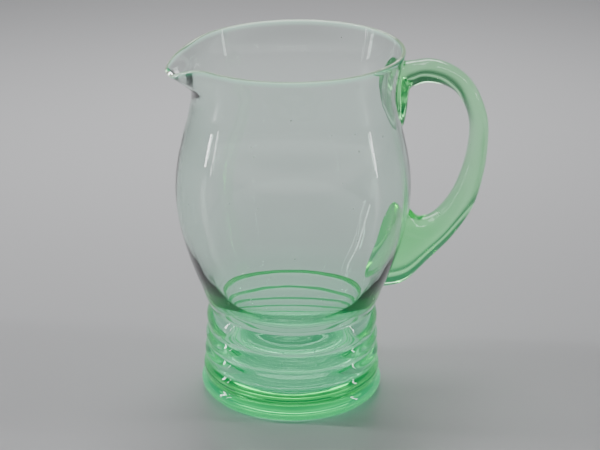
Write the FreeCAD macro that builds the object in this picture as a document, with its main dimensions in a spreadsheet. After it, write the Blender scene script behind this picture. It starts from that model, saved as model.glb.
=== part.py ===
import FreeCAD, Part
import math
import os

import Sketcher

# A hand-finished jug of uranium glass.  It stands on a ringed foot, swells into a round bowl, draws in
# to a neck and opens to a thin rim, where a spout is pulled out on one side.  A loop handle of solid
# glass is laid on the other side.  Millimetres, +Z up, the origin at the middle of the flat underside.
# The handle points along +X and the spout along -X.

V = FreeCAD.Vector

# Driving dimensions of the turned foot, the rim and the spout.  A "round" is the radius of an arc.
SIZES = {
    "base_radius": 48.3,
    "flange_round": 5.6,
    "ring_round": 6.4,
    "top_ring_round": 10.5,
    "floor_height": 9.5,
    "floor_corner": 7.0,
    "cavity_radius": 40.2,
    "cavity_round": 16.0,
    "rim_front_x": 52.5,
    "rim_front_height": 197.3,
    "rim_back_x": 75.0,
    "rim_back_height": 200.2,
    "lip_round": 25.0,
    "lip_cut_x": 75.5,
    "lip_cut_height": 180.64,
    "cutter_height": 215.0,
    "cutter_width": 160.0,
    "rim_fillet": 0.7,
    "spout_spread": 15.7,
}

# The notches between the flange, the four rings and the bowl, from below: height and radius.
FOOT_NOTCHES = [(9.6, 48.4), (19.0, 47.6), (28.5, 47.0), (38.0, 46.5), (50.5, 46.0)]

# The bowl and neck, level by level: height, outer radius, wall thickness and how far the spout is
# pulled out there.  The last level stands above the rim, which is cut to its wavy line afterwards.
BOWL_LEVELS = {
    "waist": (50.5, 46.0, 5.8, 0.0),
    "ankle": (57.0, 48.9, 6.6, 0.0),
    "calf": (64.0, 51.4, 4.9, 0.0),
    "hip": (72.0, 54.6, 3.8, 0.0),
    "flank": (84.0, 58.7, 3.0, 0.0),
    "girth": (100.0, 62.9, 2.8, 0.0),
    "belly": (119.0, 65.0, 2.7, 0.0),
    "chest": (134.0, 63.9, 2.6, 0.0),
    "shoulder": (148.0, 61.1, 2.5, 0.0),
    "throat": (162.0, 57.5, 2.4, 0.0),
    "neck": (174.0, 55.8, 2.3, 0.1),
    "gullet": (180.0, 56.1, 2.3, 1.4),
    "lip_root": (185.0, 56.9, 2.3, 6.5),
    "lip_bend": (189.0, 57.8, 2.3, 11.2),
    "lip": (193.5, 58.8, 2.2, 13.0),
    "mouth": (205.0, 61.0, 2.2, 14.5),
}

# The handle, section by section from the neck to the bowl: the point on its outer side (x, z), the
# point on its inner side (x, z) and half its width across the jug.
HANDLE_SECTIONS = {
    "upper_heel": (51.0, 189.5, 52.0, 149.0, 12.5),
    "upper_pad": (58.0, 189.8, 60.9, 150.0, 12.0),
    "upper_root": (63.0, 187.6, 62.6, 169.0, 10.2),
    "rise": (69.0, 187.6, 68.5, 174.2, 8.8),
    "crown": (79.0, 187.8, 77.0, 174.9, 8.4),
    "fall": (91.5, 183.2, 87.0, 171.8, 8.2),
    "turn": (103.0, 172.8, 95.0, 165.2, 7.9),
    "back": (111.4, 154.0, 101.3, 152.6, 7.8),
    "grip": (112.6, 137.0, 102.2, 138.5, 8.0),
    "grip_end": (110.6, 118.5, 99.2, 122.8, 8.5),
    "bend": (105.0, 99.5, 93.2, 108.0, 9.2),
    "run": (93.0, 82.8, 83.6, 97.0, 10.4),
    "flare": (79.0, 69.6, 74.2, 95.6, 11.6),
    "lower_pad": (65.5, 57.4, 66.4, 102.6, 12.4),
    "lower_heel": (53.0, 55.2, 59.0, 105.0, 12.8),
    "lower_tail": (46.0, 57.0, 53.0, 102.0, 11.6),
}

BOWL_POINTS = 48
HANDLE_POINTS = 12
FITS = 0.001


def fill_sheet(doc):
    """The spreadsheet, with every driving dimension in a cell of its own name."""
    sheet = doc.addObject("Spreadsheet::Sheet", "sizes")
    cells = dict(SIZES)
    for number, (height, radius) in enumerate(FOOT_NOTCHES):
        cells[f"notch_height_{number}"] = height
        cells[f"notch_radius_{number}"] = radius
    for name, values in BOWL_LEVELS.items():
        for label, value in zip(("height", "radius", "wall", "pull"), values):
            cells[f"{name}_{label}"] = value
    for name, values in HANDLE_SECTIONS.items():
        for label, value in zip(("outer_x", "outer_z", "inner_x", "inner_z", "half_width"), values):
            cells[f"{name}_{label}"] = value
    for row, (name, value) in enumerate(cells.items(), start=1):
        sheet.set(f"A{row}", name)
        sheet.set(f"B{row}", str(value))
        sheet.setAlias(f"B{row}", name)
    doc.recompute()
    return sheet


def add_sketch(body, name, role):
    """An empty sketch on one of the body's own origin planes."""
    plane = next(item for item in body.Origin.OriginFeatures if item.Role == role)
    sketch = body.newObject("Sketcher::SketchObject", name)
    sketch.AttachmentSupport = [(plane, "")]
    sketch.MapMode = "FlatFace"
    return sketch


def edge_between(start, end, radius, side):
    """A straight edge, or an arc of the given radius bulging to the left (1) or right (-1)."""
    if not side:
        return Part.LineSegment(start, end)
    chord = end - start
    sagitta = radius - math.sqrt(radius**2 - (chord.Length / 2) ** 2)
    left = V(-chord.y, chord.x, 0).normalize()
    return Part.Arc(start, (start + end) / 2 + left * sagitta * side, end)


def end_at(sketch, edge, point):
    """The number, 1 or 2, of the end of an edge that lies at the point."""
    return 1 if sketch.getPoint(edge, 1).distanceToPoint(point) < FITS else 2


def bind(sketch, kind, places, value, formula):
    """One dimension of a sketch, bound to a formula of the sheet's cells."""
    number = sketch.addConstraint(Sketcher.Constraint(kind, *places, value))
    sketch.setExpression(f"Constraints[{number}]", formula)


def draw_outline(sketch, sheet, corners, rounds):
    """A closed outline whose corners and arc radii all follow the sheet.

    A corner is a pair of formulas, (x, y).  A round is None for a straight edge, or a pair of the
    arc's radius formula and the side it bulges to.
    """
    points = [V(*(float(sheet.evalExpression(formula)) for formula in corner), 0) for corner in corners]
    count = len(points)
    edges = []
    for number, rounding in enumerate(rounds):
        formula, side = rounding or ("0", 0)
        radius = float(sheet.evalExpression(formula))
        edges.append(edge_between(points[number], points[(number + 1) % count], radius, side))
    sketch.addGeometry(edges)
    for number, (point, corner) in enumerate(zip(points, corners)):
        before = (number - 1) % count
        here = (number, end_at(sketch, number, point))
        sketch.addConstraint(Sketcher.Constraint("Coincident", before, end_at(sketch, before, point), *here))
        for kind, value, formula, axis in (
            ("DistanceX", point.x, corner[0], -2),
            ("DistanceY", point.y, corner[1], -1),
        ):
            if formula == "0":
                sketch.addConstraint(Sketcher.Constraint("PointOnObject", *here, axis))
            else:
                bind(sketch, kind, (-1, 1, *here), value, formula)
    for number, rounding in enumerate(rounds):
        if rounding:
            bind(sketch, "Radius", (number,), sketch.Geometry[number].Radius, rounding[0])


def turned_foot(doc, sheet):
    """The foot: a thick flat base, a rounded flange, four rings and the cavity inside them."""
    body = doc.addObject("PartDesign::Body", "foot")
    sketch = add_sketch(body, "foot_outline", "XZ_Plane")
    notches = [(f"sizes.notch_radius_{n}", f"sizes.notch_height_{n}") for n in range(len(FOOT_NOTCHES))]
    cavity = "sizes.cavity_radius"
    corners = [("0", "0"), ("sizes.base_radius", "0"), *notches]
    corners += [(cavity, height) for _, height in reversed(notches[1:])]
    corners += [
        (cavity, "sizes.floor_height + sizes.floor_corner"),
        ("sizes.cavity_radius - sizes.floor_corner", "sizes.floor_height"),
        ("0", "sizes.floor_height"),
    ]
    lower_rings = len(FOOT_NOTCHES) - 2
    rings = [("sizes.ring_round", -1)] * lower_rings + [("sizes.top_ring_round", -1)]
    swells = [("sizes.cavity_round", 1)] * lower_rings
    rounds = [None, ("sizes.flange_round", -1), *rings, None, *swells, None]
    rounds += [("sizes.floor_corner", 1), None, None]
    draw_outline(sketch, sheet, corners, rounds)
    turn = body.newObject("PartDesign::Revolution", "foot_turned")
    turn.Profile = sketch
    turn.ReferenceAxis = (sketch, ["V_Axis"])
    turn.Angle = 360
    return body


def rim_cutter(doc, sheet):
    """The block above the rim's line, which slopes gently and bends down over the spout."""
    body = doc.addObject("PartDesign::Body", "rim_cutter")
    sketch = add_sketch(body, "rim_line", "XZ_Plane")
    corners = [
        ("-sizes.rim_front_x", "sizes.rim_front_height"),
        ("sizes.rim_back_x", "sizes.rim_back_height"),
        ("sizes.rim_back_x", "sizes.cutter_height"),
        ("-sizes.lip_cut_x", "sizes.cutter_height"),
        ("-sizes.lip_cut_x", "sizes.lip_cut_height"),
    ]
    rounds = [None, None, None, None, ("sizes.lip_round", 1)]
    draw_outline(sketch, sheet, corners, rounds)
    pad = body.newObject("PartDesign::Pad", "rim_block")
    pad.Profile = sketch
    pad.SideType = "Symmetric"
    pad.setExpression("Length", "sizes.cutter_width")
    return body


def add_wire(doc, name, points):
    """A smooth closed curve through the points, as a section for a loft."""
    curve = Part.BSplineCurve()
    curve.interpolate(Points=points, PeriodicFlag=True)
    section = doc.addObject("Part::Feature", name)
    section.Shape = Part.Wire([curve.toShape()])
    return section


def bowl_section(doc, sheet, level, inside):
    """One level of the bowl: a circle that swells out towards the spout."""
    radius = sheet.get(f"{level}_radius")
    if inside:
        radius -= sheet.get(f"{level}_wall")
    pull = sheet.get(f"{level}_pull")
    height = sheet.get(f"{level}_height")
    spread = math.radians(sheet.spout_spread)
    points = []
    for number in range(BOWL_POINTS):
        angle = 2 * math.pi * number / BOWL_POINTS
        reach = radius + pull * math.exp(-(((angle - math.pi) / spread) ** 2))
        points.append(V(reach * math.cos(angle), reach * math.sin(angle), height))
    side = "inside" if inside else "outside"
    return add_wire(doc, f"{level}_{side}", points)


def handle_section(doc, sheet, name):
    """One oval section of the handle, standing on its outer and inner points."""
    values = {key: sheet.get(f"{name}_{key}") for key in ("outer_x", "outer_z", "inner_x", "inner_z")}
    outer = V(values["outer_x"], 0, values["outer_z"])
    inner = V(values["inner_x"], 0, values["inner_z"])
    centre = (outer + inner) / 2
    across = V(0, sheet.get(f"{name}_half_width"), 0)
    points = []
    for number in range(HANDLE_POINTS):
        angle = 2 * math.pi * number / HANDLE_POINTS
        points.append(centre + (outer - centre) * math.cos(angle) + across * math.sin(angle))
    return add_wire(doc, f"{name}_section", points)


def add_loft(doc, name, sections):
    """A closed solid running smoothly through its sections."""
    loft = doc.addObject("Part::Loft", name)
    loft.Sections = sections
    loft.Solid = True
    loft.Ruled = False
    return loft


def add_cut(doc, name, base, tool):
    """The base with the tool taken out of it."""
    cut = doc.addObject("Part::Cut", name)
    cut.Base = base
    cut.Tool = tool
    return cut


def rim_edges(shape, sheet):
    """The numbers of the rim's curved edges, which lie above the low end of the cutter's line."""
    return [
        number
        for number, edge in enumerate(shape.Edges, start=1)
        if edge.BoundBox.ZMin > sheet.lip_cut_height and not isinstance(edge.Curve, Part.Line)
    ]


def jug_body(doc, sheet, bowl):
    """The blown body: the bowl, cut along its rim and hollowed, on the foot, with the rim rounded."""
    trimmed = add_cut(doc, "trimmed_bowl", bowl, rim_cutter(doc, sheet))
    hollow = add_loft(doc, "bowl_hollow", [bowl_section(doc, sheet, level, True) for level in BOWL_LEVELS])
    whole = doc.addObject("Part::Fuse", "blown_glass")
    whole.Base = turned_foot(doc, sheet)
    whole.Tool = add_cut(doc, "bowl_wall", trimmed, hollow)
    doc.recompute()
    polished = doc.addObject("Part::Fillet", "jug_body")
    polished.Base = whole
    rounding = sheet.rim_fillet
    polished.Edges = [(number, rounding, rounding) for number in rim_edges(whole.Shape, sheet)]
    return polished


def handle(doc, sheet, bowl):
    """The solid loop handle, whose two pads lie against the outside of the bowl."""
    loop = add_loft(doc, "handle_loop", [handle_section(doc, sheet, name) for name in HANDLE_SECTIONS])
    return add_cut(doc, "handle", loop, bowl)


def main():
    """Build both pieces, check them and write one STEP file for each."""
    doc = FreeCAD.newDocument("jug")
    sheet = fill_sheet(doc)
    bowl = add_loft(doc, "bowl_solid", [bowl_section(doc, sheet, level, False) for level in BOWL_LEVELS])
    pieces = [jug_body(doc, sheet, bowl), handle(doc, sheet, bowl)]
    doc.recompute()
    for item in doc.Objects:
        if {"Invalid", "Error"} & set(item.State):
            raise RuntimeError(f"{item.Name} failed: {item.State}")
    os.makedirs("parts", exist_ok=True)
    for piece in pieces:
        shape = piece.Shape
        if shape.isNull() or not shape.isValid() or len(shape.Solids) != 1:
            raise RuntimeError(f"{piece.Label} is not one valid solid")
        shape.exportStep(f"parts/{piece.Label}.step")
        print(piece.Label, f"{shape.Volume / 1000:.1f} cm3", shape.BoundBox)


main()
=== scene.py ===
"""A jug of uranium glass: the blown body on its ringed foot and the loop handle laid on hot.

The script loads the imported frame, models both pieces of glass over it, dresses them and sets up a plain
studio. Lengths are kept in millimetres in the classes below and brought to metres by the frame's own size.
"""

from __future__ import annotations

import logging
import math
from dataclasses import dataclass, field
from enum import Enum

import bmesh
import bpy
from mathutils import Matrix, Vector

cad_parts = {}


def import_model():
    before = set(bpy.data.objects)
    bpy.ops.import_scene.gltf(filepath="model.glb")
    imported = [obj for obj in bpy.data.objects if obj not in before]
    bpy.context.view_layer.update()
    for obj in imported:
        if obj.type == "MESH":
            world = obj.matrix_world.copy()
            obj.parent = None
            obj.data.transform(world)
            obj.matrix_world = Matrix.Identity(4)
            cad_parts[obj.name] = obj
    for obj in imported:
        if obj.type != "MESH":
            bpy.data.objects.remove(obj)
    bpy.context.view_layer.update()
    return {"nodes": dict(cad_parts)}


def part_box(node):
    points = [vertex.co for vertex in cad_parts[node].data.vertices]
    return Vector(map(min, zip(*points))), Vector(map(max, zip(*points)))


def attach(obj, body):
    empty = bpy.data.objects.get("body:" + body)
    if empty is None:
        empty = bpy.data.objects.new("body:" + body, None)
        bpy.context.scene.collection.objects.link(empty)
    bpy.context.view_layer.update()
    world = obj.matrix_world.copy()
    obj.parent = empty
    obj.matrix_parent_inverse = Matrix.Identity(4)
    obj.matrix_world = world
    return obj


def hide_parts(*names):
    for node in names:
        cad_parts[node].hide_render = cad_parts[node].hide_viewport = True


log = logging.getLogger("jug")

NOMINAL_HEIGHT = 199.83
Point = tuple[float, float]


class Material(Enum):
    """The record's slots that the two pieces take their finish from."""

    BODY = "blown_glass"
    HANDLE = "handle_glass"


def deselect() -> None:
    """Leave nothing selected, so that the next operator acts on the new piece alone."""
    bpy.ops.object.select_all(action="DESELECT")


def edit(piece: bpy.types.Object) -> None:
    """Select one piece alone and open it in edit mode."""
    deselect()
    piece.select_set(True)
    bpy.context.view_layer.objects.active = piece
    bpy.ops.object.mode_set(mode="EDIT")


def leave_edit() -> None:
    """Close edit mode."""
    bpy.ops.object.mode_set(mode="OBJECT")


def smooth_step(low: float, high: float, value: float) -> float:
    """A smooth ramp from 0 at low to 1 at high."""
    share = min(1.0, max(0.0, (value - low) / (high - low)))
    return share * share * (3.0 - 2.0 * share)


@dataclass
class SmoothLine:
    """A smooth curve of one value over another, through a few given stations.

    Args:
        stations: pairs of place and value, in rising order of place.
    """

    stations: list[Point]

    def slope(self, number: int) -> float:
        """The curve's slope at one station, from its neighbours."""
        last = len(self.stations) - 1
        (x0, y0), (x1, y1) = self.stations[max(0, number - 1)], self.stations[min(last, number + 1)]
        if 0 < number < last:
            x, y = self.stations[number]
            before, after = (y - y0) / (x - x0), (y1 - y) / (x1 - x)
            return (before * (x1 - x) + after * (x - x0)) / (x1 - x0)
        return (y1 - y0) / (x1 - x0)

    def at(self, place: float) -> float:
        """The curve's value at a place.

        Args:
            place: where to read the curve; outside the stations it runs on straight.
        Returns:
            The value there.
        """
        last = len(self.stations) - 1
        number = next((n for n in range(last) if place <= self.stations[n + 1][0]), last - 1)
        (x0, y0), (x1, y1) = self.stations[number], self.stations[number + 1]
        width = x1 - x0
        share = (place - x0) / width
        if share < 0.0:
            return y0 + self.slope(number) * (place - x0)
        if share > 1.0:
            return y1 + self.slope(number + 1) * (place - x1)
        square, cube = share**2, share**3
        return (
            (2 * cube - 3 * square + 1) * y0
            + (cube - 2 * square + share) * width * self.slope(number)
            + (3 * square - 2 * cube) * y1
            + (cube - square) * width * self.slope(number + 1)
        )


def arc(start: Point, end: Point, bulge: float, count: int) -> list[Point]:
    """The points of a round arc between two points of a profile, without its first point.

    Args:
        start: first end, as (radius, height).
        end: last end.
        bulge: how far the arc's middle stands to the right of the straight line; negative is to the left.
        count: number of points, the last end included.
    Returns:
        The points in order.
    """
    chord = Vector(end) - Vector(start)
    half = chord.length / 2
    radius = (half**2 + bulge**2) / (2 * abs(bulge))
    side = Vector((chord.y, -chord.x)).normalized() * math.copysign(1.0, bulge)
    centre = (Vector(start) + Vector(end)) / 2 + side * (abs(bulge) - radius)
    first = Vector(start) - centre
    turn = 2 * math.asin(min(1.0, half / radius)) * math.copysign(1.0, bulge)
    points = []
    for number in range(1, count + 1):
        angle = turn * number / count
        spun = Matrix.Rotation(angle, 2) @ first
        points.append(tuple(centre + spun))
    return points


def spin_profile(name: str, profile: list[Point], unit: float, turns: int) -> bpy.types.Object:
    """Draw a profile as a chain of edges and spin it once round the jug's axis.

    Args:
        name: the new piece's name.
        profile: the points, as (radius, height), from the axis round to the axis.
        unit: metres in one millimetre.
        turns: steps round the axis.
    Returns:
        The closed piece.
    """
    points = [(radius * unit, height * unit) for radius, height in profile]
    deselect()
    bpy.ops.mesh.primitive_plane_add(size=0.002, location=(points[0][0], 0.0, points[0][1]))
    piece = bpy.context.object
    piece.name = name
    edit(piece)
    bpy.ops.mesh.select_all(action="SELECT")
    bpy.ops.mesh.merge(type="CENTER")
    for (radius0, height0), (radius1, height1) in zip(points, points[1:]):
        step = (radius1 - radius0, 0.0, height1 - height0)
        bpy.ops.mesh.extrude_vertices_move(TRANSFORM_OT_translate={"value": step})
    bpy.ops.mesh.select_all(action="SELECT")
    bpy.ops.mesh.spin(steps=turns, angle=math.tau, center=(0.0, 0.0, 0.0), axis=(0.0, 0.0, 1.0))
    bpy.ops.mesh.select_all(action="SELECT")
    bpy.ops.mesh.remove_doubles(threshold=0.00001)
    bpy.ops.mesh.normals_make_consistent(inside=False)
    leave_edit()
    bpy.ops.object.transform_apply(location=True, rotation=True, scale=True)
    return piece


def soften(points: list[Point], start: float, passes: int) -> list[Point]:
    """Melt the sharp corners of a profile a little, as fire polishing does.

    Args:
        points: the profile.
        start: the height above which the profile is softened.
        passes: how many times each point moves towards the middle of its neighbours.
    Returns:
        The softened profile, with as many points.
    """
    soft = list(points)
    for _ in range(passes):
        for number in range(1, len(soft) - 1):
            if soft[number][1] > start:
                neighbours = zip(soft[number - 1], soft[number], soft[number + 1])
                soft[number] = tuple((before + 2 * here + after) / 4 for before, here, after in neighbours)
    return soft


@dataclass
class BlownBody:
    """The blown body, from the flat base to the fire-polished rim, spout and all."""

    unit: float
    base_radius: float = 48.3
    base_round: float = 0.6
    flange_bulge: float = 2.75
    ring_bulge: float = 2.0
    flange_soft: float = 3.0
    notch_passes: int = 3
    notches: list[Point] = field(
        default_factory=lambda: [(48.4, 9.6), (47.6, 19.0), (47.0, 28.5), (46.5, 38.0), (46.0, 50.5)]
    )
    floor: float = 9.5
    floor_corner: float = 7.0
    cavity_radius: float = 40.2
    cavity_swell: float = 0.72
    outer: SmoothLine = field(
        default_factory=lambda: SmoothLine(
            [
                (50.5, 46.0),
                (57.0, 48.9),
                (64.0, 51.4),
                (72.0, 54.6),
                (84.0, 58.7),
                (100.0, 62.9),
                (119.0, 65.0),
                (134.0, 63.9),
                (148.0, 61.1),
                (162.0, 57.5),
                (174.0, 55.8),
                (180.0, 56.1),
                (185.0, 56.9),
                (193.5, 58.8),
                (205.0, 61.0),
            ]
        )
    )
    wall: SmoothLine = field(
        default_factory=lambda: SmoothLine(
            [
                (50.5, 5.8),
                (57.0, 6.6),
                (64.0, 4.9),
                (72.0, 3.8),
                (84.0, 3.0),
                (119.0, 2.7),
                (174.0, 2.3),
                (205.0, 2.2),
            ]
        )
    )
    pull: SmoothLine = field(
        default_factory=lambda: SmoothLine(
            [
                (162.0, 0.0),
                (174.0, 0.1),
                (180.0, 1.4),
                (185.0, 6.5),
                (189.0, 11.2),
                (193.5, 13.0),
                (205.0, 14.5),
            ]
        )
    )
    pull_start: float = 162.0
    mouth_height: float = 205.0
    settle_rounds: int = 8
    spout_spread: float = 15.7
    rim_top: float = 199.6
    rim_front: Point = (-52.5, 197.3)
    rim_slope: float = 0.02275
    lip_round: float = 25.0
    bend_start: float = 168.0
    bury: float = 0.4
    # Ranges over which the painted glow fades: below the rim, up the flange and up the foot. The two shares
    # below weigh the flange glow and the foot glow.
    bead_painted_glow: Point = (0.3, 1.5)
    flange_painted_glow: Point = (5.0, 14.0)
    foot_painted_glow: Point = (20.0, 70.0)
    flange_share: float = 0.5
    foot_share: float = 0.14
    turns: int = 240
    bowl_steps: int = 62

    def foot_outline(self) -> list[Point]:
        """The outside of the foot, from the middle of the base up to the waist."""
        edge = self.base_radius - self.base_round
        points = [(0.0, 0.0), (16.0, 0.0), (32.0, 0.0), (edge, 0.0)]
        points += arc(points[-1], (self.base_radius, self.base_round), 0.2, 3)
        points += arc(points[-1], self.notches[0], self.flange_bulge, 14)
        for lower, upper in zip(self.notches, self.notches[1:]):
            points += arc(lower, upper, self.ring_bulge, 14)
        return soften(points, self.notches[0][1] - self.flange_soft, self.notch_passes)

    def cavity_outline(self) -> list[Point]:
        """The inside of the foot, from the waist down to the middle of the floor."""
        heights = [height for _, height in reversed(self.notches[1:])] + [self.floor + self.floor_corner]
        points = []
        for upper, lower in zip(heights, heights[1:]):
            points += arc((self.cavity_radius, upper), (self.cavity_radius, lower), -self.cavity_swell, 9)
        inner = self.cavity_radius - self.floor_corner
        points += arc(points[-1], (inner, self.floor), self.floor_corner * -(1 - math.sqrt(0.5)), 9)
        return points + [(22.0, self.floor), (11.0, self.floor), (0.0, self.floor)]

    def profile(self) -> list[Point]:
        """The whole outline of the wall: up the outside, over the rim and down the inside."""
        waist = self.notches[-1][1]
        bead = self.wall.at(self.rim_top) / 2
        top = self.rim_top - bead
        heights = [waist + (top - waist) * step / self.bowl_steps for step in range(1, self.bowl_steps + 1)]
        outside = [(self.outer.at(height), height) for height in heights]
        inside = [(self.outer.at(height) - self.wall.at(height), height) for height in reversed(heights)]
        over = arc(outside[-1], inside[0], bead * 0.999, 9)[:-1]
        mouth = (self.outer.at(waist) - self.wall.at(waist), waist)
        return self.foot_outline() + outside + over + inside + [mouth] + self.cavity_outline()

    def rim_height(self, x: float) -> float:
        """The height of the rim over a place along the jug: a gentle slope, bent down over the spout."""
        front_x, front_height = self.rim_front
        if x > front_x:
            return front_height + self.rim_slope * (x - front_x)
        tilt = math.atan(self.rim_slope)
        centre_x = front_x + self.lip_round * math.sin(tilt)
        centre_height = front_height - self.lip_round * math.cos(tilt)
        reach = min(self.lip_round, abs(x - centre_x))
        return centre_height + math.sqrt(self.lip_round**2 - reach**2)

    def shape_mouth(self, piece: bpy.types.Object) -> None:
        """Pull the spout out of the soft rim and let the rim follow its line.

        Args:
            piece: the spun body.
        """
        spread = math.radians(self.spout_spread)
        for vertex in piece.data.vertices:
            x, y, height = (value / self.unit for value in vertex.co)
            radius = math.hypot(x, y)
            soft = smooth_step(self.bend_start, self.rim_top, height)
            if soft <= 0.0 and self.pull.at(max(height, self.pull_start)) <= 0.0:
                continue
            away = math.atan2(y, -x)
            share = math.exp(-((away / spread) ** 2))
            settled = height
            reach = radius
            for _ in range(self.settle_rounds):
                reach = radius + self.pull.at(max(settled, self.pull_start)) * share
                drop = self.rim_height(-reach * math.cos(away)) - self.rim_top
                settled = height + soft * drop
            vertex.co = Vector((-reach * math.cos(away), reach * math.sin(away), settled)) * self.unit

    def core(self) -> bpy.types.Object:
        """A solid that fills the bowl to just under its outer skin, to trim the handle with."""
        waist = self.notches[-1][1]
        rise = (self.mouth_height - waist) / self.bowl_steps
        heights = [waist + rise * step for step in range(self.bowl_steps + 1)]
        skin = [(self.outer.at(height) - self.bury, height) for height in heights]
        return spin_profile("core", [(0.0, waist), *skin, (0.0, self.mouth_height)], self.unit, self.turns)

    def lay_painted_glow(self, piece: bpy.types.Object) -> None:
        """Store a painted glow mask: strong on the rim's bead, standing in for a bright rim highlight,
        weaker on the thick flange outside the cavity, and faint over the whole foot.

        Args:
            piece: the finished body.
        """
        painted_glow = piece.data.attributes.new("painted_glow", "FLOAT", "POINT")
        for number, vertex in enumerate(piece.data.vertices):
            x, y, height = (value / self.unit for value in vertex.co)
            below_rim = self.rim_height(x) - height
            bead = 1.0 - smooth_step(*self.bead_painted_glow, below_rim)
            flange = 1.0 - smooth_step(*self.flange_painted_glow, height)
            foot = 1.0 - smooth_step(*self.foot_painted_glow, height)
            outside = smooth_step(self.cavity_radius, self.cavity_radius + 3.0, math.hypot(x, y))
            glow = max(bead, self.flange_share * flange * outside, self.foot_share * foot)
            painted_glow.data[number].value = glow

    def build(self) -> bpy.types.Object:
        """Spin the body, pull its spout and smooth it.

        Returns:
            The finished piece.
        """
        piece = spin_profile("blown_body", self.profile(), self.unit, self.turns)
        self.shape_mouth(piece)
        self.lay_painted_glow(piece)
        deselect()
        piece.select_set(True)
        bpy.context.view_layer.objects.active = piece
        bpy.ops.object.shade_smooth_by_angle(angle=math.radians(40))
        return piece


@dataclass
class LoopHandle:
    """The solid handle: a drop-shaped pad on the bowl, drawn up in a loop and pressed on the neck.

    Each section is an oval that stands on a point of the handle's outer side and one of its inner side.
    A section's five numbers are the outer point (x, z), the inner point (x, z) and half its width.
    """

    unit: float
    points: int = 28
    spans: int = 5
    # Painted glow on the handle: a faint even amount on the whole loop, more on the pad, fading out between
    # the heights in pad_top.
    loop_painted_glow: float = 0.1
    pad_painted_glow: float = 0.2
    pad_top: Point = (60.0, 130.0)
    sections: list[tuple[float, ...]] = field(
        default_factory=lambda: [
            (51.0, 189.5, 52.0, 149.0, 12.5),
            (58.0, 189.8, 60.9, 150.0, 12.0),
            (63.0, 187.6, 62.6, 169.0, 10.2),
            (69.0, 187.6, 68.5, 174.2, 8.8),
            (79.0, 187.8, 77.0, 174.9, 8.4),
            (91.5, 183.2, 87.0, 171.8, 8.2),
            (103.0, 172.8, 95.0, 165.2, 7.9),
            (111.4, 154.0, 101.3, 152.6, 7.8),
            (112.6, 137.0, 102.2, 138.5, 8.0),
            (110.6, 118.5, 99.2, 122.8, 8.5),
            (105.0, 99.5, 93.2, 108.0, 9.2),
            (93.0, 82.8, 83.6, 97.0, 10.4),
            (79.0, 69.6, 74.2, 95.6, 11.6),
            (65.5, 57.4, 66.4, 102.6, 12.4),
            (53.0, 55.2, 59.0, 105.0, 12.8),
            (46.0, 57.0, 53.0, 102.0, 11.6),
        ]
    )

    def ovals(self) -> list[list[Vector]]:
        """All the ovals along the handle, in metres, smoothly drawn through the sections."""
        lines = [SmoothLine(list(enumerate(values))) for values in zip(*self.sections)]
        count = (len(self.sections) - 1) * self.spans
        ovals = []
        for number in range(count + 1):
            outer_x, outer_z, inner_x, inner_z, half_width = (line.at(number / self.spans) for line in lines)
            centre = Vector((outer_x + inner_x, 0.0, outer_z + inner_z)) / 2
            outward = Vector((outer_x - inner_x, 0.0, outer_z - inner_z)) / 2
            across = Vector((0.0, half_width, 0.0))
            angles = [math.tau * point / self.points for point in range(self.points)]
            oval = [centre + outward * math.cos(angle) + across * math.sin(angle) for angle in angles]
            ovals.append([place * self.unit for place in oval])
        return ovals

    def draw(self) -> bpy.types.Object:
        """Draw the handle out of its first oval, one oval at a time."""
        deselect()
        bpy.ops.mesh.primitive_circle_add(vertices=self.points, radius=0.01, fill_type="NGON")
        piece = bpy.context.object
        piece.name = "loop_handle"
        edit(piece)
        for number, oval in enumerate(self.ovals()):
            if number:
                bpy.ops.mesh.extrude_region_move(TRANSFORM_OT_translate={"value": (0.0, 0.0, 0.0)})
            mesh = bmesh.from_edit_mesh(piece.data)
            face = next(item for item in mesh.faces if item.select)
            for corner, place in zip(face.verts, oval):
                corner.co = place
            bmesh.update_edit_mesh(piece.data)
        bpy.ops.mesh.select_all(action="SELECT")
        bpy.ops.mesh.normals_make_consistent(inside=False)
        leave_edit()
        return piece

    def trim(self, piece: bpy.types.Object, core: bpy.types.Object) -> None:
        """Cut the handle's two ends to the bowl's own curve, a hair under its skin, where they fuse.

        Args:
            piece: the drawn handle.
            core: the solid that fills the bowl; it is used up.
        """
        cut = piece.modifiers.new("cut", "BOOLEAN")
        cut.operation = "DIFFERENCE"
        cut.solver = "EXACT"
        cut.object = core
        deselect()
        piece.select_set(True)
        bpy.context.view_layer.objects.active = piece
        bpy.ops.object.modifier_apply(modifier=cut.name)
        mesh = core.data
        bpy.data.objects.remove(core)
        bpy.data.meshes.remove(mesh)

    def build(self, core: bpy.types.Object) -> bpy.types.Object:
        """Draw the handle, fit it to the bowl and smooth it.

        Args:
            core: the solid that fills the bowl.
        Returns:
            The finished piece.
        """
        piece = self.draw()
        self.trim(piece, core)
        # Painted glow mask on the handle: faint everywhere, brighter on the low pad.
        painted_glow = piece.data.attributes.new("painted_glow", "FLOAT", "POINT")
        for number, vertex in enumerate(piece.data.vertices):
            height = vertex.co.z / self.unit
            pad = 1.0 - smooth_step(*self.pad_top, height)
            painted_glow.data[number].value = self.loop_painted_glow + self.pad_painted_glow * pad
        bpy.ops.object.shade_smooth_by_angle(angle=math.radians(35))
        return piece


def new_group(name: str, inputs: dict[str, float], outputs: dict[str, str]) -> bpy.types.NodeTree:
    """An empty shader node group.

    Args:
        name: the group's name.
        inputs: the number inputs and their usual values.
        outputs: the outputs and their socket types.
    Returns:
        The group's tree, with its input and output nodes in place.
    """
    tree = bpy.data.node_groups.new(name, "ShaderNodeTree")
    for label, value in inputs.items():
        socket = tree.interface.new_socket(name=label, in_out="INPUT", socket_type="NodeSocketFloat")
        socket.default_value = value
    for label, kind in outputs.items():
        tree.interface.new_socket(name=label, in_out="OUTPUT", socket_type=kind)
    tree.nodes.new("NodeGroupInput")
    tree.nodes.new("NodeGroupOutput")
    return tree


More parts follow.
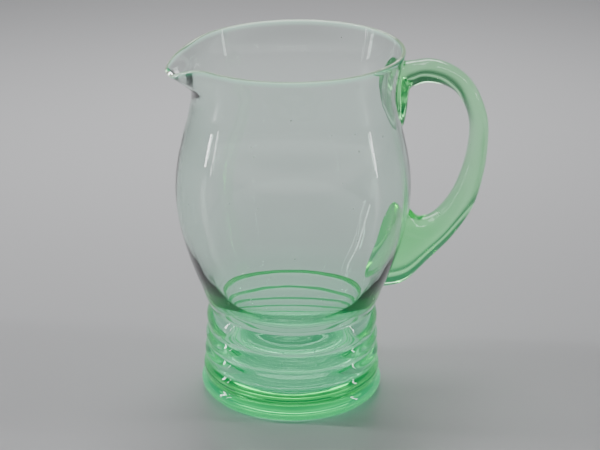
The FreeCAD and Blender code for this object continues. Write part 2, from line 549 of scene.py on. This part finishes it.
class BlownSurface:
    """The marks that blowing leaves: long ripples down the wall, fine seeds, dust and smears."""

    @staticmethod
    def group() -> bpy.types.NodeTree:
        """Build the node group, or return it if it is there already."""
        if "blown_surface" in bpy.data.node_groups:
            return bpy.data.node_groups["blown_surface"]
        inputs = {"Ripple Scale": 60.0, "Seed Scale": 110.0, "Seed Share": 0.06, "Smear": 0.03}
        outputs = {"Height": "NodeSocketFloat", "Roughness": "NodeSocketFloat"}
        tree = new_group("blown_surface", inputs, outputs)
        nodes, links = tree.nodes, tree.links
        given, out = nodes["Group Input"], nodes["Group Output"]
        place = nodes.new("ShaderNodeTexCoord")
        stretch = nodes.new("ShaderNodeMapping")
        stretch.inputs["Scale"].default_value = (1.0, 1.0, 0.16)
        links.new(place.outputs["Object"], stretch.inputs["Vector"])
        ripple = nodes.new("ShaderNodeTexNoise")
        ripple.inputs["Detail"].default_value = 2.0
        links.new(stretch.outputs["Vector"], ripple.inputs["Vector"])
        links.new(given.outputs["Ripple Scale"], ripple.inputs["Scale"])
        seeds = nodes.new("ShaderNodeTexVoronoi")
        links.new(place.outputs["Object"], seeds.inputs["Vector"])
        links.new(given.outputs["Seed Scale"], seeds.inputs["Scale"])
        seed = nodes.new("ShaderNodeMath")
        seed.operation = "LESS_THAN"
        links.new(seeds.outputs["Distance"], seed.inputs[0])
        links.new(given.outputs["Seed Share"], seed.inputs[1])
        sparse = nodes.new("ShaderNodeSeparateColor")
        links.new(seeds.outputs["Color"], sparse.inputs["Color"])
        few = nodes.new("ShaderNodeMath")
        few.operation = "LESS_THAN"
        few.inputs[1].default_value = 0.35
        links.new(sparse.outputs["Red"], few.inputs[0])
        spot = nodes.new("ShaderNodeMath")
        spot.operation = "MULTIPLY"
        links.new(seed.outputs["Value"], spot.inputs[0])
        links.new(few.outputs["Value"], spot.inputs[1])
        raised = nodes.new("ShaderNodeMath")
        raised.operation = "MULTIPLY_ADD"
        raised.inputs[1].default_value = 0.35
        links.new(spot.outputs["Value"], raised.inputs[0])
        links.new(ripple.outputs["Fac"], raised.inputs[2])
        links.new(raised.outputs["Value"], out.inputs["Height"])
        film = nodes.new("ShaderNodeTexNoise")
        film.inputs["Scale"].default_value = 28.0
        film.inputs["Detail"].default_value = 5.0
        links.new(place.outputs["Object"], film.inputs["Vector"])
        patch = nodes.new("ShaderNodeMapRange")
        patch.inputs["From Min"].default_value = 0.55
        patch.inputs["From Max"].default_value = 0.8
        links.new(film.outputs["Fac"], patch.inputs["Value"])
        links.new(given.outputs["Smear"], patch.inputs["To Max"])
        rough = nodes.new("ShaderNodeMath")
        rough.operation = "MULTIPLY_ADD"
        rough.inputs[1].default_value = 0.45
        links.new(spot.outputs["Value"], rough.inputs[0])
        links.new(patch.outputs["Result"], rough.inputs[2])
        links.new(rough.outputs["Value"], out.inputs["Roughness"])
        return tree


class PaintedGlow:
    """Painted green glow, given as emission, on its rim, its foot and its thick places: it stands in for the
    glass's fluorescence and for a bright rim, and no lamp in the studio makes it.
    """

    @staticmethod
    def group() -> bpy.types.NodeTree:
        """Build the node group, or return it if it is there already."""
        if "painted_edge_glow" in bpy.data.node_groups:
            return bpy.data.node_groups["painted_edge_glow"]
        tree = new_group("painted_edge_glow", {"Amount": 1.0}, {"Color": "NodeSocketColor"})
        nodes, links = tree.nodes, tree.links
        given, out = nodes["Group Input"], nodes["Group Output"]
        stored = nodes.new("ShaderNodeAttribute")
        stored.attribute_name = "painted_glow"
        # Noise makes the painted glow patchy.
        cloud = nodes.new("ShaderNodeTexNoise")
        cloud.inputs["Scale"].default_value = 45.0
        place = nodes.new("ShaderNodeTexCoord")
        links.new(place.outputs["Object"], cloud.inputs["Vector"])
        uneven = nodes.new("ShaderNodeMath")
        uneven.operation = "MULTIPLY_ADD"
        uneven.inputs[1].default_value = 0.5
        uneven.inputs[2].default_value = 0.75
        links.new(cloud.outputs["Fac"], uneven.inputs[0])
        share = nodes.new("ShaderNodeMath")
        share.operation = "MULTIPLY"
        links.new(stored.outputs["Fac"], share.inputs[0])
        links.new(uneven.outputs["Value"], share.inputs[1])
        scaled = nodes.new("ShaderNodeMath")
        scaled.operation = "MULTIPLY"
        links.new(share.outputs["Value"], scaled.inputs[0])
        links.new(given.outputs["Amount"], scaled.inputs[1])
        # Colours of the painted glow: none at zero, deep green midway, pale green-white at full.
        ramp = nodes.new("ShaderNodeValToRGB")
        ramp.color_ramp.elements[0].color = (0.0, 0.0, 0.0, 1.0)
        ramp.color_ramp.elements[1].color = (0.8, 1.0, 0.72, 1.0)
        middle = ramp.color_ramp.elements.new(0.5)
        middle.color = (0.02, 0.5, 0.24, 1.0)
        links.new(scaled.outputs["Value"], ramp.inputs["Fac"])
        links.new(ramp.outputs["Color"], out.inputs["Color"])
        return tree


@dataclass(frozen=True)
class GlassFinish:
    """Clear uranium glass: nearly colourless when thin, green when thick, with a soft painted green glow in
    its emission.

    Args:
        name: the material's name.
        tint: what is left of white light after a long way through it.
        depth: how fast the tint grows with the way through it, per metre.
        ripple: how deep the ripples of its surface are, in metres.
        painted_glow: how strongly the painted emission glow shows on its edges and thick places.
    """

    name: str
    tint: tuple[float, float, float, float]
    depth: float
    ripple: float
    painted_glow: float

    def make(self) -> bpy.types.Material:
        """Build the material."""
        material = bpy.data.materials.new(self.name)
        material.use_nodes = True
        tree = material.node_tree
        nodes, links = tree.nodes, tree.links
        shader = nodes["Principled BSDF"]
        shader.inputs["Base Color"].default_value = (1.0, 1.0, 1.0, 1.0)
        shader.inputs["IOR"].default_value = 1.5
        shader.inputs["Transmission Weight"].default_value = 1.0
        # Strength of the painted glow, an emission standing in for fluorescence; its colour comes from the
        # painted glow group below.
        shader.inputs["Emission Strength"].default_value = self.painted_glow
        surface = nodes.new("ShaderNodeGroup")
        surface.node_tree = BlownSurface.group()
        bump = nodes.new("ShaderNodeBump")
        bump.inputs["Distance"].default_value = self.ripple
        links.new(surface.outputs["Height"], bump.inputs["Height"])
        links.new(bump.outputs["Normal"], shader.inputs["Normal"])
        links.new(surface.outputs["Roughness"], shader.inputs["Roughness"])
        glow = nodes.new("ShaderNodeGroup")
        glow.node_tree = PaintedGlow.group()
        links.new(glow.outputs["Color"], shader.inputs["Emission Color"])
        volume = nodes.new("ShaderNodeVolumeAbsorption")
        volume.inputs["Color"].default_value = self.tint
        volume.inputs["Density"].default_value = self.depth
        links.new(volume.outputs["Volume"], nodes["Material Output"].inputs["Volume"])
        return material


@dataclass
class Studio:
    """A plain pale floor, a soft grey surround, tall soft lamps and the camera."""

    unit: float
    distance: float = 957.0
    height: float = 476.0
    swing: float = 15.0
    pitch: float = 21.6
    heading: float = -0.24
    roll: float = -0.65
    lens: float = 111.0
    bands: tuple[Point, ...] = ((0.03, 0.8), (0.10, 0.6), (0.17, 0.08), (0.5, 0.03))

    def camera(self) -> None:
        """Stand the camera in front of the jug, a little towards its spout, looking down on it."""
        deselect()
        swing = math.radians(-self.swing)
        place = Matrix.Rotation(swing, 3, "Z") @ Vector((0.0, -self.distance, self.height)) * self.unit
        bpy.ops.object.camera_add(location=place)
        camera = bpy.context.object
        camera.name = "camera"
        camera.data.lens = self.lens
        camera.data.sensor_width = 36.0
        turn = (
            Matrix.Rotation(swing + math.radians(self.heading), 3, "Z")
            @ Matrix.Rotation(math.radians(90.0 - self.pitch), 3, "X")
            @ Matrix.Rotation(math.radians(-self.roll), 3, "Z")
        )
        camera.rotation_euler = turn.to_euler()
        camera.data.clip_end = 20.0
        bpy.context.scene.camera = camera

    def floor(self) -> None:
        """Lay the floor a hair under the jug."""
        deselect()
        bpy.ops.mesh.primitive_plane_add(size=6.0, location=(0.0, 0.0, -0.0004))
        floor = bpy.context.object
        floor.name = "floor"
        material = bpy.data.materials.new("pale_floor")
        material.use_nodes = True
        shader = material.node_tree.nodes["Principled BSDF"]
        shader.inputs["Base Color"].default_value = (0.5, 0.5, 0.51, 1.0)
        shader.inputs["Roughness"].default_value = 0.3
        floor.data.materials.append(material)

    def lamp(
        self,
        name: str,
        place: Point,
        height: float,
        size: Point,
        power: float,
        target: tuple[float, float, float] = (0.0, 0.0, 0.1),
    ) -> None:
        """Stand one soft lamp.

        Args:
            name: the lamp's name.
            place: bearing in degrees from the handle's side and distance in metres.
            height: height of its middle, in metres.
            size: width and height in metres.
            power: watts.
            target: the point it faces, in metres.
        """
        bearing, distance = math.radians(place[0]), place[1]
        location = Vector((distance * math.cos(bearing), distance * math.sin(bearing), height))
        bpy.ops.object.light_add(type="AREA", location=location)
        lamp = bpy.context.object
        lamp.name = name
        lamp.data.shape = "RECTANGLE"
        lamp.data.size, lamp.data.size_y = size
        lamp.data.energy = power
        lamp.visible_camera = False
        aim = Vector(target) - location
        lamp.rotation_euler = aim.to_track_quat("-Z", "Y").to_euler()

    def surround(self) -> None:
        """The grey surround, pale at the horizon and darker above."""
        world = bpy.data.worlds.new("surround")
        bpy.context.scene.world = world
        world.use_nodes = True
        nodes, links = world.node_tree.nodes, world.node_tree.links
        place = nodes.new("ShaderNodeTexCoord")
        split = nodes.new("ShaderNodeSeparateXYZ")
        ramp = nodes.new("ShaderNodeValToRGB")
        ramp.color_ramp.elements[0].position = 0.0
        ramp.color_ramp.elements[0].color = (0.25, 0.25, 0.26, 1.0)
        ramp.color_ramp.elements[1].position = 1.0
        ramp.color_ramp.elements[1].color = (0.14, 0.145, 0.16, 1.0)
        for position, level in self.bands:
            element = ramp.color_ramp.elements.new(position)
            element.color = (level, level * 1.01, level * 1.03, 1.0)
        links.new(place.outputs["Generated"], split.inputs["Vector"])
        links.new(split.outputs["Z"], ramp.inputs["Fac"])
        links.new(ramp.outputs["Color"], nodes["Background"].inputs["Color"])
        nodes["Background"].inputs["Strength"].default_value = 1.0

    def build(self) -> None:
        """Set up the whole studio."""
        self.camera()
        self.floor()
        self.surround()
        self.lamp("left_strip", (160.0, 1.1), 0.65, (0.05, 1.3), 7.0)
        self.lamp("left_line", (169.0, 1.1), 0.65, (0.014, 1.3), 1.6)
        self.lamp("right_strip", (342.0, 1.1), 0.65, (0.035, 1.3), 4.2)
        self.lamp("top_soft", (75.0, 0.35), 1.2, (0.5, 0.5), 4.0)
        self.lamp("back_pool", (75.0, 0.5), 0.5, (0.7, 0.3), 3.4, (0.13, 0.5, 0.0))


def main() -> None:
    """Build the jug over its frame and report each piece."""
    logging.basicConfig(level=logging.INFO, format="%(message)s")
    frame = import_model()
    low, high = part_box("jug_body")
    unit = (high.z - low.z) / NOMINAL_HEIGHT
    # The last number of each finish is the strength of its painted glow.
    body_glass = GlassFinish("blown_glass", (0.20, 0.92, 0.58, 1.0), 48.0, 0.00008, 0.4)
    handle_glass = GlassFinish("handle_glass", (0.30, 0.94, 0.40, 1.0), 70.0, 0.00012, 0.35)
    bowl = BlownBody(unit)
    body = bowl.build()
    loop = LoopHandle(unit).build(bowl.core())
    work = (
        (body, "jug_body", Material.BODY, body_glass),
        (loop, "handle", Material.HANDLE, handle_glass),
    )
    for piece, node, slot, finish in work:
        piece.data.materials.clear()
        piece.data.materials.append(finish.make())
        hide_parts(node)
        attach(piece, "root")
        log.info("%s: %d faces", piece.name, len(piece.data.polygons))
    Studio(unit).build()
    cycles = bpy.context.scene.cycles
    cycles.max_bounces = 24
    cycles.transmission_bounces = 24
    log.info("frame nodes: %s", sorted(frame["nodes"]))


if __name__ == "__main__":
    main()
